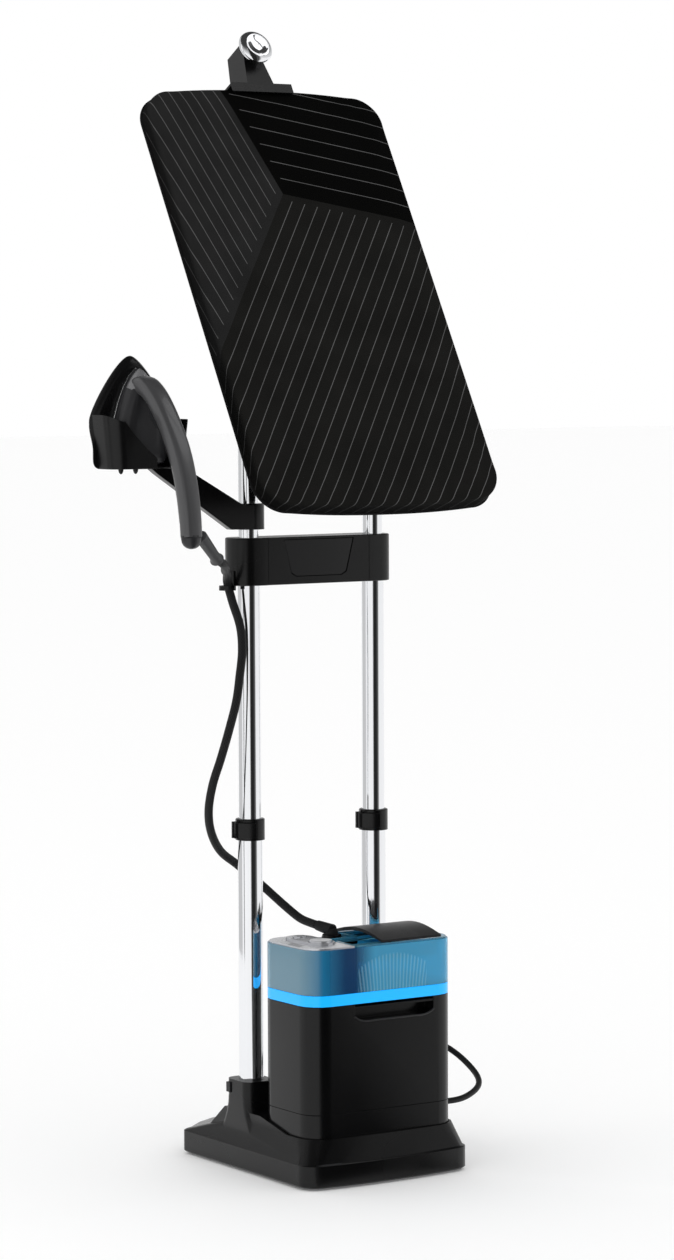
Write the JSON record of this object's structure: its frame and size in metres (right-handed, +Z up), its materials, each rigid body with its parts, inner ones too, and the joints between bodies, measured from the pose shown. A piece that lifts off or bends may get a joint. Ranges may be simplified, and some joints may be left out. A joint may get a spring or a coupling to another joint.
{
  "type": "garment steamer",
  "caption": "Free-standing garment steamer: telescopic poles, tilting padded board, steam generator with lift-off tank on a base, hand iron in a side cradle.",
  "frame": {"origin": "on the floor, midway between the two pole axes", "axes": "+Z up along the poles; -Y towards the user, where the steam generator stands; +X to the user's right, away from the iron's holder"},
  "size_m": [0.5918, 0.4561, 1.4699],
  "materials": {
    "satin_black": "satin moulded black, fine grain",
    "semi_gloss_black": "semi-gloss moulded black",
    "gloss_black": "gloss black",
    "chrome": "polished chrome",
    "clear_blue": "tinted translucent blue, gloss",
    "cyan": "bright cyan, gloss",
    "silver": "silver painted, gloss",
    "sole_metal": "polished sole plate",
    "graphite": "graphite, low gloss",
    "dark_grey": "dark grey moulded",
    "steel": "bare steel",
    "boiler_metal": "cast, bare",
    "brass": "machined",
    "rubber": "matt black rubber",
    "cord_rubber": "matt black sheath",
    "cover_fabric": "woven dark cover, printed pale lines",
    "board_green": "printed circuit board"
  },
  "bodies": {
    "root": {"base_shell": "satin_black", "ballast_plate": "steel", "foot_strip_front": "rubber", "foot_strip_middle": "rubber", "foot_strip_rear": "rubber", "lower_tube_left": "chrome", "lower_tube_right": "chrome", "collar_left": "satin_black", "collar_right": "satin_black", "generator_lower_shell": "semi_gloss_black", "generator_upper_shell": "semi_gloss_black", "chassis_deck": "dark_grey", "accent_band": "cyan", "boiler": "boiler_metal", "steam_valve": "brass", "water_pump": "dark_grey", "control_board": "board_green", "console_pod": "clear_blue", "control_panel": "silver", "hose_socket": "gloss_black", "hose_cuff": "rubber", "cord_gland": "rubber", "cord_hook": "satin_black", "power_cord": "cord_rubber", "cord_coil": "cord_rubber", "power_plug": "cord_rubber", "steam_hose": "cord_rubber"},
    "pole_button_left": {"pole_button_left": "dark_grey"},
    "pole_button_right": {"pole_button_right": "dark_grey"},
    "collar_lever_left": {"collar_lever_left": "satin_black"},
    "collar_lever_right": {"collar_lever_right": "satin_black"},
    "mid_frame": {"middle_tube_left": "chrome", "middle_tube_right": "chrome", "bracket_body": "satin_black", "bracket_cover": "satin_black", "lock_bar": "steel", "hose_hook": "satin_black"},
    "release_paddle": {"release_paddle": "gloss_black"},
    "upper_frame": {"upper_tube_left": "chrome", "upper_tube_right": "chrome", "board_yoke": "satin_black"},
    "board": {"board_hinge": "satin_black", "board_core": "satin_black", "board_cover": "cover_fabric", "hanger_clip": "satin_black", "hanger_knob": "chrome"},
    "tilt_lever": {"tilt_lever": "dark_grey"},
    "holder": {"holder_arm": "semi_gloss_black", "holder_cradle": "gloss_black"},
    "iron": {"iron_soleplate": "sole_metal", "iron_body": "graphite", "iron_relief": "rubber"},
    "iron_trigger": {"iron_trigger": "dark_grey"},
    "tank": {"water_tank": "clear_blue"},
    "lid": {"tank_lid": "clear_blue", "carry_handle": "graphite"},
    "steam_button": {"steam_button": "silver"},
    "power_button": {"power_button": "silver"}
  },
  "joints": [
    {"name": "lower_extension", "type": "slide", "parent": "root", "child": "mid_frame", "axis": [0, 0, 1], "range_m": [-0.25, 0], "deforming": ["steam_hose"]},
    {"name": "upper_extension", "type": "slide", "parent": "mid_frame", "child": "upper_frame", "axis": [0, 0, 1], "range_m": [-0.17, 0]},
    {"name": "board_tilt", "type": "hinge", "parent": "upper_frame", "child": "board", "pos_m": [0, 0, 1.075], "axis": [-1, 0, 0], "range_deg": [-29.5, 60.5]},
    {"name": "tilt_lever_squeeze", "type": "hinge", "parent": "board", "child": "tilt_lever", "pos_m": [0, -0.02305, 1.0708], "axis": [-1, 0, 0], "range_deg": [0, 8], "stiffness_Nm_per_rad": 0.6, "springref_deg": -8.59},
    {"name": "collar_lever_left_flip", "type": "hinge", "parent": "root", "child": "collar_lever_left", "pos_m": [-0.1217, -0.0068, 0.4394], "axis": [0, 0, -1], "range_deg": [0, 90]},
    {"name": "collar_lever_right_flip", "type": "hinge", "parent": "root", "child": "collar_lever_right", "pos_m": [0.0693, -0.0068, 0.4394], "axis": [0, 0, -1], "range_deg": [0, 90]},
    {"name": "pole_button_left_press", "type": "slide", "parent": "root", "child": "pole_button_left", "axis": [1, 0, 0], "range_m": [0, 0.0012], "stiffness_N_per_m": 500, "springref_m": -0.002},
    {"name": "pole_button_right_press", "type": "slide", "parent": "root", "child": "pole_button_right", "axis": [-1, 0, 0], "range_m": [0, 0.0012], "stiffness_N_per_m": 500, "springref_m": -0.002},
    {"name": "release_paddle_press", "type": "slide", "parent": "mid_frame", "child": "release_paddle", "axis": [0, 1, 0], "range_m": [0, 0.003], "stiffness_N_per_m": 600, "springref_m": -0.003},
    {"name": "holder_swing", "type": "hinge", "parent": "mid_frame", "child": "holder", "pos_m": [-0.0955, 0, 0.8415], "axis": [0, 0, -1], "range_deg": [0, 25]},
    {"name": "iron_lift", "type": "slide", "parent": "holder", "child": "iron", "axis": [0, 0, 1], "range_m": [0, 0.05]},
    {"name": "iron_trigger_squeeze", "type": "slide", "parent": "iron", "child": "iron_trigger", "axis": [0, -0.75, 0.6614], "range_m": [0, 0.0025], "stiffness_N_per_m": 500, "springref_m": -0.002},
    {"name": "tank_lift", "type": "slide", "parent": "root", "child": "tank", "axis": [0, 0, 1], "range_m": [0, 0.06]},
    {"name": "lid_lift", "type": "slide", "parent": "tank", "child": "lid", "axis": [0, 0, 1], "range_m": [0, 0.04]},
    {"name": "steam_button_press", "type": "slide", "parent": "root", "child": "steam_button", "axis": [0, 0, -1], "range_m": [0, 0.002], "stiffness_N_per_m": 500, "springref_m": -0.002},
    {"name": "power_button_press", "type": "slide", "parent": "root", "child": "power_button", "axis": [0, 0, -1], "range_m": [0, 0.002], "stiffness_N_per_m": 500, "springref_m": -0.002}
  ]
}
